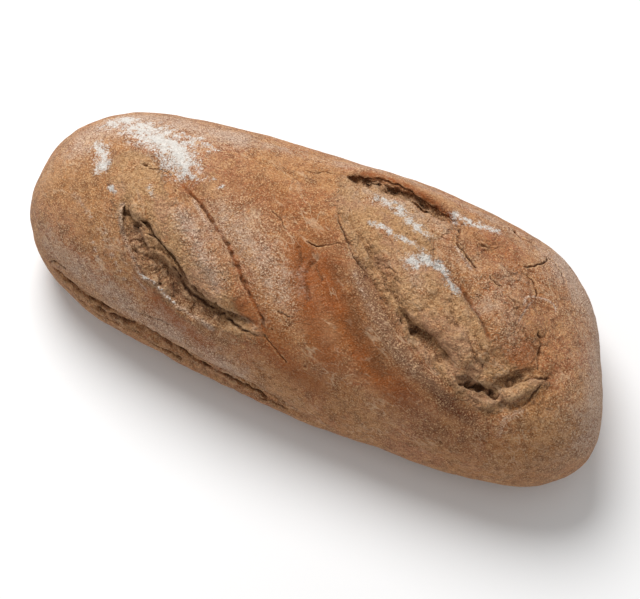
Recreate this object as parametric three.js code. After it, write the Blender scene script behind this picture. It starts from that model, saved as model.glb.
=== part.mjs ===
// A rye bread loaf: a long oval hearth loaf whose two slashes burst open in the oven.
//
// Millimetres, +Z up. The origin is the middle of the flat base, +X points to the wider end and
// -Y is the near side. The crust is one formula worked out from a few sizes. The slashes, their
// lips and tongues, the seam above the base and the folds are strokes: each follows a line on
// the crust, and raises it, sinks it or leans it over.

import * as THREE from "three";
import { ImprovedNoise } from "three/addons/math/ImprovedNoise.js";
import { mergeVertices } from "three/addons/utils/BufferGeometryUtils.js";

// ---------------------------------------------------------------- driving dimensions

const loaf = {
  length: 291.5,
  width: 127,
  height: 86,
  girthHeight: 28, // height of the widest level above the base
  underDepth: 38, // half height of the oval below the girth, which the base cuts off
  leftFullness: 3.6, // how square each end is in plan, where 2 is an ellipse
  rightFullness: 3.3,
  crownFullness: 2.2, // how square the cross-section is above the girth, and below it
  underFullness: 2.6,
  taper: 0.08, // the right end is wider and the left end narrower by this share
  bow: 3.1, // how far both ends swing towards the near side
  offset: [0.3, -2.3], // brings the middle of the whole outline over the origin
  baseRounding: 4, // radius where the side turns under into the flat base
};

// How far the plan outline stands out from the plain oval, in percent of its radius, at equal
// steps of a turn from +X towards +Y.
const outlineSwells = [
  -1.5, -4.7, -5, -0.5, 1.9, -1.1, -2.3, -0.6, 0.9, 1.6, 1.4, -3, -4.6, -1.3, -1.6, -3.1, 1.6, 3.4,
];
const swellReach = 0.3; // radians

const undulation = { height: 0.9, wavelength: 38 }; // long soft waves of the whole crust
const crumbLumps = { height: 1.1, wavelength: 6.5 }; // torn crumb inside the slashes
const strokeReach = 4; // widths beyond which a stroke no longer shows
const crumbReach = 1.3; // widths over which its torn crumb spreads
const strokeStep = 2; // distance between the points that stand for a line
const lineCorrections = 80; // steps that bring a line's points onto the crust
const noiseSeeds = { undulation: 0, coarseCrumb: 7.3, fineCrumb: 3.1 };

// The mesh is finest at the lips and cracks and coarsest on the base.
const edgeLength = { cliff: 1.9, slash: 3.2, soft: 5, rim: 7.5, crust: 10, base: 20 };
const edgeGrowth = 0.75; // how much longer an edge may be for each millimetre away from a stroke
const edgeTolerance = 1.35; // how many times too long an edge is before it is halved
const ballDetail = 4;
const relaxRounds = 4;
const evening = 0.35; // share of the neighbours' mean in each corner's relief

// ---------------------------------------------------------------- lines on the crust

// Each line runs from left to right. On the crown a point is [x, y] and lies on top of the crust;
// on the near side it is [x, z].
const leftSlash = {
  lip: [[-105, -10], [-95, -20], [-86, -33], [-70, -44], [-49, -51.5], [-27, -53.5], [-9, -49]],
  floor: [[-93, -23], [-81, -33], [-69, -40], [-56, -45], [-42, -49.5], [-27, -51], [-12, -50]],
  crack: [[-92, -22], [-84, -26], [-77, -27], [-71, -32], [-60, -36.5], [-50, -44], [-32, -48],
    [-9, -48.5]],
  tongue: [[-102, -5], [-89, -11], [-74, -18], [-58, -26], [-43, -34.5], [-28, -42], [-15, -47]],
  groove: [[-93, 9.5], [-83, 5], [-65, -3], [-54, -9.5], [-46, -15], [-34, -24], [-23, -36],
    [-10, -47]],
};
const rightSlash = {
  valley: [[-3, 2], [6, -12], [15, -23], [26, -32], [36, -41], [50, -47.5], [64, -50.5]],
  lip: [[-3.5, 28], [-2.5, 16], [3, 7], [11, -3], [28, -19], [38, -29], [56, -39.5], [75, -44.5],
    [92, -46]],
  floor: [[2, 20], [9, 9.5], [20, 0], [31, -9], [43, -19], [54, -27], [64, -31], [73, -35], [81, -40]],
  tongue: [[10, 24], [31, 10], [48, -2], [64, -14], [78, -23], [90, -29], [97, -33]],
  tongueGroove: [[46, 8], [58, 2], [69, -1.5], [79, -9], [86, -16]],
  lobe: [[36, 29], [58, 18], [77, 7], [92, -5], [102, -15], [107, -22]],
  recess: [[-3, 34], [4, 37.5], [12, 39.5], [20, 40.5], [30, 39.5], [42, 37.5], [52, 33], [62, 26]],
  recessBridge: [[11, 33], [12.5, 42]],
  farLip: [[-5, 35], [2, 42], [9, 45], [20, 46], [31, 44], [42, 41], [53, 36], [64, 28]],
  pocket: [[78, -39], [87, -38.5], [97, -38.3], [101, -33], [105, -29], [111, -24.5], [118, -21]],
  fold: [[91, -45], [98, -42.5], [103, -38.5], [108, -33], [113, -27.5], [117, -23]],
  foldCrack: [[90, -45.5], [97, -46], [107, -41], [111, -37], [114, -32], [118, -24]],
  endCrack: [[105, -5], [109, -8.5], [109.5, -13], [112, -20]],
};
const thumbprint = [[4, -10.5], [1, -14], [0.7, -18], [2, -23], [4.5, -26]];
const baseSeam = {
  seam: [[-128, 37], [-110, 34], [-90, 35], [-68, 36], [-45, 33], [-20, 30], [5, 26], [30, 20]],
  rim: [[-125, 20], [-100, 20], [-60, 21], [-20, 18], [20, 15], [60, 13]],
  secondFold: [[-98, 21], [-82, 22], [-66, 22], [-48, 19]],
};

// What each line does to the crust.
//   lift      gained height along the line, less than zero for a groove
//   near far  width of the slope on the line's near or lower side, and on its far or upper side
//   lean      how far the wall on the far side leans out over the groove
//   fade      lengths over which the stroke starts and ends
//   crumb     how strongly torn crumb shows on it, from 0 to 1
//   detail    the mesh's edge length here
const { cliff, slash, soft, rim } = edgeLength;
const strokes = [
  { line: onCrown(leftSlash.lip), lift: 2, near: 8, far: 3, fade: [20, 20], detail: slash },
  {
    line: onCrown(leftSlash.floor),
    lift: -4.5, near: 4, far: 6,
    fade: [14, 30], crumb: 1, detail: slash,
  },
  {
    line: onCrown(leftSlash.crack),
    lift: -5, near: 3, far: 2.2, lean: 2.4,
    fade: [8, 20], crumb: 1, detail: cliff,
  },
  {
    line: onCrown(leftSlash.tongue),
    lift: 3.6, near: 8, far: 9,
    fade: [18, 18], crumb: 0.6, detail: soft,
  },
  { line: onCrown(leftSlash.groove), lift: -3.4, near: 4, far: 3, fade: [14, 22], detail: slash },

  { line: onCrown(rightSlash.valley), lift: -2.2, near: 9, far: 6, fade: [25, 25], detail: soft },
  { line: onCrown(rightSlash.lip), lift: 2.6, near: 4, far: 4, fade: [25, 20], detail: slash },
  {
    line: onCrown(rightSlash.floor),
    lift: -6, near: 5, far: 3, lean: 1,
    fade: [45, 12], crumb: 1, detail: cliff,
  },
  {
    line: onCrown(rightSlash.tongue),
    lift: 4, near: 12, far: 11,
    fade: [25, 16], crumb: 0.8, detail: soft,
  },
  {
    line: onCrown(rightSlash.tongueGroove),
    lift: -2.4, near: 3, far: 3.5,
    fade: [14, 14], detail: slash,
  },
  {
    line: onCrown(rightSlash.lobe),
    lift: 2.4, near: 9, far: 9,
    fade: [20, 16], crumb: 0.4, detail: soft,
  },
  {
    line: onCrown(rightSlash.recess),
    lift: -9, near: 5, far: 2.6, lean: 3,
    fade: [7, 26], crumb: 0.7, detail: cliff,
  },
  { line: onCrown(rightSlash.recessBridge), lift: 4, near: 2.5, far: 2.5, fade: [3, 3], detail: cliff },
  { line: onCrown(rightSlash.farLip), lift: 2, near: 2, far: 7, fade: [10, 25], detail: slash },
  {
    line: onCrown(rightSlash.pocket),
    lift: -8, near: 3.5, far: 2.2, lean: 2.4,
    fade: [10, 22], crumb: 0.6, detail: cliff,
  },
  { line: onCrown(rightSlash.fold), lift: 1.8, near: 3, far: 2.6, fade: [8, 10], detail: slash },
  { line: onCrown(rightSlash.foldCrack), lift: -2.2, near: 2.4, far: 2.2, fade: [8, 8], detail: slash },
  { line: onCrown(rightSlash.endCrack), lift: -2, near: 2.4, far: 2.4, fade: [5, 5], detail: slash },

  { line: onCrown(thumbprint), lift: -1, near: 3, far: 3, fade: [5, 5], detail: soft },
  {
    line: onNearSide(baseSeam.seam),
    lift: -4.4, near: 2.6, far: 2.4, lean: 1.6,
    fade: [14, 40], detail: slash,
  },
  { line: onNearSide(baseSeam.rim), lift: 2.2, near: 6, far: 7, fade: [25, 50], detail: rim },
  {
    line: onNearSide(baseSeam.secondFold),
    lift: -2.2, near: 2.4, far: 2.2,
    fade: [14, 14], detail: slash,
  },
];

// ---------------------------------------------------------------- the plain crust

function superNorm(a, b, power) {
  return (Math.abs(a) ** power + Math.abs(b) ** power) ** (1 / power);
}

function outlineSwell(angle) {
  const step = (2 * Math.PI) / outlineSwells.length;
  let swell = 0;
  outlineSwells.forEach((percent, i) => {
    const away = THREE.MathUtils.euclideanModulo(angle - i * step + Math.PI, 2 * Math.PI) - Math.PI;
    swell += (percent / 100) * Math.exp(-((away / swellReach) ** 2));
  });
  return 1 + swell;
}

// The point of the crust that lies in a direction from the loaf's heart.
function crustPoint(direction) {
  const above = direction.z > 0;
  const section = superNorm(direction.y, direction.z, above ? loaf.crownFullness : loaf.underFullness);
  const ends = direction.x < 0 ? loaf.leftFullness : loaf.rightFullness;
  const radius = 1 / superNorm(section, direction.x, ends);
  const along = direction.x * radius;
  const across = direction.y * radius * (1 + loaf.taper * along);
  const up = direction.z * radius * (above ? loaf.height - loaf.girthHeight : loaf.underDepth);
  const swell = outlineSwell(Math.atan2(across, along));
  return new THREE.Vector3(
    (loaf.length / 2) * along * swell + loaf.offset[0],
    (loaf.width / 2) * across * swell - loaf.bow * along * along + loaf.offset[1],
    loaf.girthHeight + up,
  );
}

// Lifts a line of flat points onto the crust: the direction is corrected until the crust point
// lies over the wanted x and y, or on the near side until it has the wanted x and z.
function drapeLine(points, firstDirection, correct) {
  const draped = points.map((point) => {
    const direction = firstDirection.clone();
    for (let i = 0; i < lineCorrections; i++) {
      correct(direction, crustPoint(direction), point);
    }
    return crustPoint(direction);
  });
  const curve = new THREE.CatmullRomCurve3(draped, false, "centripetal");
  const length = curve.getLength();
  return { samples: curve.getSpacedPoints(Math.ceil(length / strokeStep)), length };
}

function onCrown(points) {
  return drapeLine(points, new THREE.Vector3(0, 0, 1), (direction, crust, [x, y]) => {
    direction.x += (x - crust.x) / (loaf.length / 2);
    direction.y += (y - crust.y) / (loaf.width / 2);
  });
}

function onNearSide(points) {
  return drapeLine(points, new THREE.Vector3(0, -1, 0), (direction, crust, [x, z]) => {
    direction.x += (x - crust.x) / (loaf.length / 2);
    direction.z += (z - crust.z) / loaf.underDepth;
  });
}

// ---------------------------------------------------------------- strokes

// Where a point lies beside a stroke's line: the distance along it, the distance to it, and the
// vector from the line to the point.
function besideLine(point, { samples, length }) {
  const span = length / (samples.length - 1);
  const segment = new THREE.Line3();
  const foot = new THREE.Vector3();
  let nearest = { distance: Infinity };
  for (let i = 0; i + 1 < samples.length; i++) {
    if (samples[i].distanceTo(point) > nearest.distance + span) {
      continue;
    }
    segment.set(samples[i], samples[i + 1]);
    const part = segment.closestPointToPointParameter(point, true);
    segment.at(part, foot);
    const distance = foot.distanceTo(point);
    if (distance < nearest.distance) {
      const tangent = samples[i + 1].clone().sub(samples[i]).normalize();
      nearest = { distance, tangent, offset: point.clone().sub(foot), along: (i + part) * span };
    }
  }
  return nearest;
}

function bell(distance, width) {
  return Math.exp(-((distance / width) ** 2));
}

// What all strokes together do at one point of the crust.
function carve(point, normal) {
  const shift = new THREE.Vector3();
  let crumb = 0;
  for (const { line, lift, near, far, lean = 0, fade, crumb: torn = 0 } of strokes) {
    const place = besideLine(point, line);
    if (place.distance > strokeReach * Math.max(near, far)) {
      continue;
    }
    const side = normal.clone().cross(place.tangent).normalize();
    const out = place.offset.dot(side) >= 0 ? place.distance : -place.distance;
    const strength =
      THREE.MathUtils.smoothstep(place.along, 0, fade[0]) *
      THREE.MathUtils.smoothstep(line.length - place.along, 0, fade[1]);
    const width = (out < 0 ? near : far) * (0.5 + 0.5 * strength);
    shift.addScaledVector(normal, lift * strength * bell(out, width));
    const fromWall = (out - far) / far;
    shift.addScaledVector(side, -lean * strength * fromWall * Math.exp(0.5 - 0.5 * fromWall ** 2));
    crumb = Math.max(crumb, torn * strength * bell(out, crumbReach * width));
  }
  return { shift, crumb };
}

const noise = new ImprovedNoise();

function waves(point, { height, wavelength }, seed) {
  const scale = 1 / wavelength;
  return height * noise.noise(point.x * scale + seed, point.y * scale, point.z * scale);
}

function lumps(point, { height, wavelength }) {
  const coarse = waves(point, { height, wavelength }, noiseSeeds.coarseCrumb);
  const fine = { height: height / 2, wavelength: wavelength / 2 };
  return coarse + waves(point, fine, noiseSeeds.fineCrumb);
}

// Rounds the lower edge and lays everything below it flat on the base.
function restOnBase(z) {
  const r = loaf.baseRounding;
  return z >= r ? z : z <= -r ? 0 : (z + r) ** 2 / (4 * r);
}

// ---------------------------------------------------------------- mesh

function wantedEdge(point) {
  if (point.z < -loaf.baseRounding) {
    return edgeLength.base;
  }
  let wanted = edgeLength.crust;
  for (const { line, near, far, detail } of strokes) {
    const away = Math.max(0, besideLine(point, line).distance - Math.max(near, far));
    wanted = Math.min(wanted, detail + edgeGrowth * away);
  }
  return wanted;
}

// The three edges of each triangle. An edge knows its two ends, its length and the two triangles
// beside it, which share it.
function edgesOf(vertices, triangles) {
  const edges = new Map();
  return triangles.map((triangle, t) =>
    triangle.map((v, k) => {
      const ends = [v, triangle[(k + 1) % 3]].sort((a, b) => a - b);
      const key = ends.join();
      if (!edges.has(key)) {
        const length = vertices[ends[0]].crust.distanceTo(vertices[ends[1]].crust);
        edges.set(key, { ends, faces: [], length, rank: edges.size });
      }
      edges.get(key).faces.push(t);
      return edges.get(key);
    }),
  );
}

function longer(a, b) {
  return a.length > b.length || (a.length === b.length && a.rank > b.rank) ? a : b;
}

// Halves triangles until each is as small as its place asks for. A triangle is only ever cut
// across its longest edge: where the triangle beyond that edge has a longer one, that goes first.
// A vertex is kept as a direction, so that each new one lies on the crust too.
function refine(vertices, triangles) {
  const wanted = vertices.map(({ crust }) => wantedEdge(crust));
  for (;;) {
    const longest = edgesOf(vertices, triangles).map((sides) => sides.reduce(longer));
    const toSplit = new Set();
    longest.forEach((edge, t) => {
      if (edge.length < Math.min(...triangles[t].map((v) => wanted[v])) * edgeTolerance) {
        return;
      }
      let here = t;
      let beyond = edge.faces.find((f) => f !== here);
      while (longest[beyond] !== longest[here]) {
        here = beyond;
        beyond = longest[here].faces.find((f) => f !== here);
      }
      toSplit.add(longest[here]);
    });
    if (toSplit.size === 0) {
      return;
    }
    for (const { ends, faces } of toSplit) {
      const middle = vertices.length;
      const direction = vertices[ends[0]].direction.clone().add(vertices[ends[1]].direction).normalize();
      vertices.push({ direction, crust: crustPoint(direction) });
      wanted.push(wantedEdge(vertices[middle].crust));
      for (const t of faces) {
        triangles.push(triangles[t].map((v) => (v === ends[0] ? middle : v)));
        triangles[t] = triangles[t].map((v) => (v === ends[1] ? middle : v));
      }
    }
  }
}

// The mean, at each corner of the mesh, of what its neighbours hold.
function meanOfNeighbours(values, triangles) {
  const sums = values.map(() => ({ total: new THREE.Vector3(), count: 0 }));
  for (const triangle of triangles) {
    triangle.forEach((v, k) => {
      sums[v].total.add(values[triangle[(k + 1) % 3]]);
      sums[v].count += 1;
    });
  }
  return sums.map(({ total, count }) => total.divideScalar(count));
}

// Moves each vertex half way to the middle of its neighbours, along the crust.
function relax(vertices, triangles) {
  const halfWay = 0.5;
  const means = meanOfNeighbours(vertices.map(({ direction }) => direction), triangles);
  vertices.forEach((vertex, i) => {
    vertex.direction.lerp(means[i], halfWay).normalize();
    vertex.crust = crustPoint(vertex.direction);
  });
}

function toGeometry(positions, triangles) {
  const geometry = new THREE.BufferGeometry();
  const coordinates = positions.flatMap((position) => position.toArray());
  geometry.setAttribute("position", new THREE.Float32BufferAttribute(coordinates, 3));
  geometry.setIndex(triangles.flat());
  geometry.computeVertexNormals();
  return geometry;
}

function loafGeometry() {
  const ball = new THREE.IcosahedronGeometry(1, ballDetail);
  ball.deleteAttribute("normal");
  ball.deleteAttribute("uv");
  const start = mergeVertices(ball);
  const vertices = [];
  for (let i = 0; i < start.attributes.position.count; i++) {
    const direction = new THREE.Vector3().fromBufferAttribute(start.attributes.position, i);
    vertices.push({ direction, crust: crustPoint(direction) });
  }
  const triangles = [];
  for (let i = 0; i < start.index.count; i += 3) {
    triangles.push([start.index.getX(i), start.index.getX(i + 1), start.index.getX(i + 2)]);
  }
  refine(vertices, triangles);
  for (let i = 0; i < relaxRounds; i++) {
    relax(vertices, triangles);
  }

  const plain = toGeometry(vertices.map(({ crust }) => crust), triangles);
  const relief = vertices.map(({ crust }, i) => {
    const normal = new THREE.Vector3().fromBufferAttribute(plain.attributes.normal, i);
    const { shift, crumb } = carve(crust, normal);
    const soft = waves(crust, undulation, noiseSeeds.undulation);
    return shift.addScaledVector(normal, soft + crumb * lumps(crust, crumbLumps));
  });
  const evened = meanOfNeighbours(relief, triangles);
  const positions = vertices.map(({ crust }, i) => {
    const position = crust.clone().add(relief[i].lerp(evened[i], evening));
    position.z = restOnBase(position.z);
    return position;
  });
  const geometry = toGeometry(positions, triangles);
  geometry.computeBoundingBox();
  const middle = geometry.boundingBox.getCenter(new THREE.Vector3());
  geometry.translate(-middle.x, -middle.y, 0);
  return geometry;
}

const crust = new THREE.MeshStandardMaterial({ color: 0xa9703f, roughness: 0.85, metalness: 0 });
const bread = new THREE.Mesh(loafGeometry(), crust);
bread.name = "loaf";

const model = new THREE.Group();
model.add(bread);
export default model;
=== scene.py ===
# %% [markdown]
# # A rye bread loaf
# A hearth loaf is one piece of bread, so this scene has one piece: its crust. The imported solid
# already has the loaf's form, with two burst slashes and the seam above the base. Here a copy of
# it gets a fine skin, torn crumb, cracks, flour and colour, under a soft studio light.

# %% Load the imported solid
import math

import bpy
import numpy as np
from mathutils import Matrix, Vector, noise
from mathutils.bvhtree import BVHTree


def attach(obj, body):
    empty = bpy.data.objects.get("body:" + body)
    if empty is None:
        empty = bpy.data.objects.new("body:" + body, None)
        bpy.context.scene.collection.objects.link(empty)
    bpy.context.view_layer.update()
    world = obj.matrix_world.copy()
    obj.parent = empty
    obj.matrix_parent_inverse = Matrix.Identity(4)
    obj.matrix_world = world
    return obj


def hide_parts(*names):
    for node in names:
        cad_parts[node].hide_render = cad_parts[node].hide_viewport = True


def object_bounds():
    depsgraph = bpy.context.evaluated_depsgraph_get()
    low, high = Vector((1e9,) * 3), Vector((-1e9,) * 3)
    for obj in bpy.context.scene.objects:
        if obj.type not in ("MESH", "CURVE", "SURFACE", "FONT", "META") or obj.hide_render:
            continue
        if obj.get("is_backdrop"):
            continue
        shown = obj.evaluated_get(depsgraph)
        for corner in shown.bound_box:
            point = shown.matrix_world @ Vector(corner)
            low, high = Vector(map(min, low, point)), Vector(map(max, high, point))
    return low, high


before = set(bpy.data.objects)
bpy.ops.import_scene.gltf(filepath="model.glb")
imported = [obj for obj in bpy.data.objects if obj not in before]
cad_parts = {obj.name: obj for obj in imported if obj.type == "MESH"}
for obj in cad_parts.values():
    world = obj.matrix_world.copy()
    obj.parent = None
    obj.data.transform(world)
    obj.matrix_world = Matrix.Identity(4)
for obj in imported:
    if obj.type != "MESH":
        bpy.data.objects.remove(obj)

solid_low, solid_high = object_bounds()
MM = 0.001
print("solid, mm:", [round((b - a) / MM, 1) for a, b in zip(solid_low, solid_high)])


# %% [markdown]
# ## The camera
# The loaf is seen from its near side and high above, a little turned. A long lens keeps its two
# ends in proportion. The camera is an object with a place and a point to look at, both written
# in millimetres and turned to metres.

# %% Camera
def aim(item, place, target):
    item.location = Vector(place) * MM
    item.rotation_euler = (Vector(target) * MM - item.location).to_track_quat("-Z", "Y").to_euler()


bpy.ops.object.select_all(action="DESELECT")
bpy.ops.object.camera_add()
camera = bpy.context.object
camera.data.lens = 85
camera.data.sensor_width = 36
aim(camera, place=(118.7, -282.9, 702.3), target=(0.9, -6.8, 28))
bpy.context.scene.camera = camera
print("camera is", round(camera.location.length, 2), "m from the middle of the base")


# %% [markdown]
# ## A fine skin
# The solid is made of flat triangles. A copy of it is merged, rounded by one level of
# subdivision and covered with an even net of small quads by a voxel remesh. After that the skin
# has points everywhere for relief, and no crease of the old triangles. The flat base needs no
# relief, so its quads are dissolved to one face.

# %% Helpers for one object at a time
def only(piece):
    bpy.ops.object.select_all(action="DESELECT")
    piece.select_set(True)
    bpy.context.view_layer.objects.active = piece


def apply_modifier(piece, name, kind, **settings):
    only(piece)
    modifier = piece.modifiers.new(name, kind)
    for key, value in settings.items():
        setattr(modifier, key, value)
    bpy.ops.object.modifier_apply(modifier=name)


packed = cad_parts["loaf"]
print("packed solid:", len(packed.data.polygons), "triangles")

# %% Copy, merge and remesh
merge_distance = 0.01 * MM
skin_step = 2.5 * MM
loaf = bpy.data.objects.new("rye_loaf", packed.data.copy())
bpy.context.scene.collection.objects.link(loaf)
loaf.data.materials.clear()
only(loaf)
bpy.ops.object.mode_set(mode="EDIT")
bpy.ops.mesh.select_all(action="SELECT")
bpy.ops.mesh.remove_doubles(threshold=merge_distance)
bpy.ops.object.mode_set(mode="OBJECT")
print("merged solid:", len(loaf.data.polygons), "triangles")

apply_modifier(loaf, "round_facets", "SUBSURF", levels=1, render_levels=1)
smooth_form = bpy.data.objects.new("smooth_form", loaf.data.copy())
bpy.context.scene.collection.objects.link(smooth_form)
apply_modifier(loaf, "even_skin", "REMESH", mode="VOXEL", voxel_size=skin_step)
print("even skin:", len(loaf.data.polygons), "quads")

# %% One face for the flat base
base_height = 0.3 * MM
straight_down = -0.99  # height of a normal that points down
for polygon in loaf.data.polygons:
    polygon.select = polygon.center.z < base_height and polygon.normal.z < straight_down
bpy.ops.object.mode_set(mode="EDIT")
bpy.ops.mesh.select_mode(type="FACE")
bpy.ops.mesh.dissolve_faces()
bpy.ops.object.mode_set(mode="OBJECT")
print("with a plain base:", len(loaf.data.polygons), "faces")


# %% [markdown]
# ## Where things are on the crust
# Slashes, cracks and flour follow lines on the crown. A line is a few (x, y) points in
# millimetres, dropped onto the skin from above. The distance of each skin point to such a line
# then says how strongly the line acts there. An area is a closed outline seen from above.

# %% Points of the skin as arrays
def skin_points(piece):
    flat = np.empty(len(piece.data.vertices) * 3)
    piece.data.vertices.foreach_get("co", flat)
    return flat.reshape(-1, 3) / MM


def skin_normals(piece):
    flat = np.empty(len(piece.data.vertices) * 3)
    piece.data.vertex_normals.foreach_get("vector", flat)
    return flat.reshape(-1, 3)


def set_points(piece, points):
    piece.data.vertices.foreach_set("co", (points * MM).ravel())
    piece.data.update()


print("points of the skin:", len(skin_points(loaf)))

# %% Lines
far_off = 1e6  # farther than any point


def smooth_line(points, step=2.5):
    """Points every few millimetres along a curve through the given ones."""
    given = np.array(points, float)
    if len(given) < 2:
        return given
    padded = np.vstack([2 * given[0] - given[1], given, 2 * given[-1] - given[-2]])
    fine = []
    for a, b, c, d in zip(padded, padded[1:], padded[2:], padded[3:]):
        pieces = max(1, round(np.linalg.norm(c - b) / step))
        for t in np.arange(pieces) / pieces:
            fine.append(0.5 * (2 * b + (c - a) * t + (2 * a - 5 * b + 4 * c - d) * t**2
                               + (3 * b - a - 3 * c + d) * t**3))
    return np.array(fine + [given[-1]])


def close_to(points, line, reach):
    """Numbers of the skin points that lie in a line's box, grown by its reach."""
    return np.flatnonzero(np.all((points > line.min(axis=0) - reach)
                                 & (points < line.max(axis=0) + reach), axis=1))


def nearest_on(line, points):
    """Gap from a line to each point, the line's heading there, and the share of its length."""
    if len(line) == 1:
        return points - line[0], np.zeros_like(points), np.full(len(points), 0.5)
    gap = np.full(points.shape, far_off)
    heading = np.zeros_like(points)
    along = np.zeros(len(points))
    lengths = np.linalg.norm(np.diff(line, axis=0), axis=1)
    starts = np.concatenate([[0], np.cumsum(lengths)])
    for a, b, start, length in zip(line, line[1:], starts, lengths):
        part = np.clip((points - a) @ (b - a) / length**2, 0, 1)
        this_gap = points - a - part[:, None] * (b - a)
        closer = np.linalg.norm(this_gap, axis=1) < np.linalg.norm(gap, axis=1)
        gap[closer] = this_gap[closer]
        heading[closer] = (b - a) / length
        along[closer] = (start + part[closer] * length) / starts[-1]
    return gap, heading, along


print("a line 10 mm long gets", len(smooth_line([(0, 0), (10, 0)])), "points")

# %% Soft edges
crown_from = 40  # areas lie on the crown, above this height


def smoothstep(value, low, high):
    t = np.clip((value - low) / (high - low), 0, 1)
    return t * t * (3 - 2 * t)


def inside(points, outline, softness):
    """1 well inside an outline on the crown, 0 outside, with a soft edge that far wide."""
    ring = np.array(outline, float)
    crossing = np.zeros(len(points), bool)
    edge = np.full(len(points), far_off)
    for a, b in zip(ring, np.roll(ring, -1, axis=0)):
        part = np.clip((points[:, :2] - a) @ (b - a) / ((b - a) @ (b - a)), 0, 1)
        this_gap = points[:, :2] - a - part[:, None] * (b - a)
        edge = np.minimum(edge, np.linalg.norm(this_gap, axis=1))
        straddles = (a[1] > points[:, 1]) != (b[1] > points[:, 1])
        with np.errstate(divide="ignore", invalid="ignore"):
            reach = a[0] + (points[:, 1] - a[1]) * (b[0] - a[0]) / (b[1] - a[1])
        crossing ^= straddles & (points[:, 0] < reach)
    signed = np.where(crossing, edge, -edge)
    return smoothstep(signed, -softness / 2, softness / 2) * (points[:, 2] > crown_from)


print("points of the crown:", int((skin_points(loaf)[:, 2] > crown_from).sum()))


# %% [markdown]
# ## A map of the crust
# A baker's eye finds two burst slashes, each with a lip, a torn bed and a tongue of stretched
# dough, then cracks, folds and places where flour stayed. They are listed here by name, in
# millimetres, and used for relief first and for colour later.

# %% Areas: the two tears, and the backs of their tongues
left_tear = [(-107, -7), (-109, 1), (-103, 8), (-92, 8), (-82, 1), (-74, -8), (-64, -18),
             (-51, -28), (-37, -38), (-22, -45), (-8, -49), (-19, -53), (-34, -54), (-51, -52),
             (-67, -47), (-78, -40), (-87, -33), (-93, -24), (-99, -17)]
left_tongue_back = [(-84, 0), (-74, -2), (-54, -10), (-38, -21), (-26, -33), (-13, -46), (-24, -42),
                    (-38, -36), (-52, -28), (-64, -20), (-75, -9)]
right_tear = [(-5, 35), (-3, 17), (7, 6), (18, -5), (33, -15), (45, -25), (57, -33), (71, -39),
              (82, -43), (93, -45), (103, -42), (112, -32), (118, -23), (105, -24), (95, -20),
              (86, -17), (79, -10), (70, -3), (58, 2), (49, 8), (47, 16), (50, 25), (52, 33),
              (42, 38), (30, 40), (18, 41), (6, 39)]
right_tongue_back = [(49, 8), (60, 2), (70, -3), (80, -10), (88, -18), (100, -24), (110, -22),
                     (110, -12), (102, -2), (90, 9), (76, 18), (62, 25), (52, 30)]
print("corners of the two tears:", len(left_tear), "and", len(right_tear))

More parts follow.
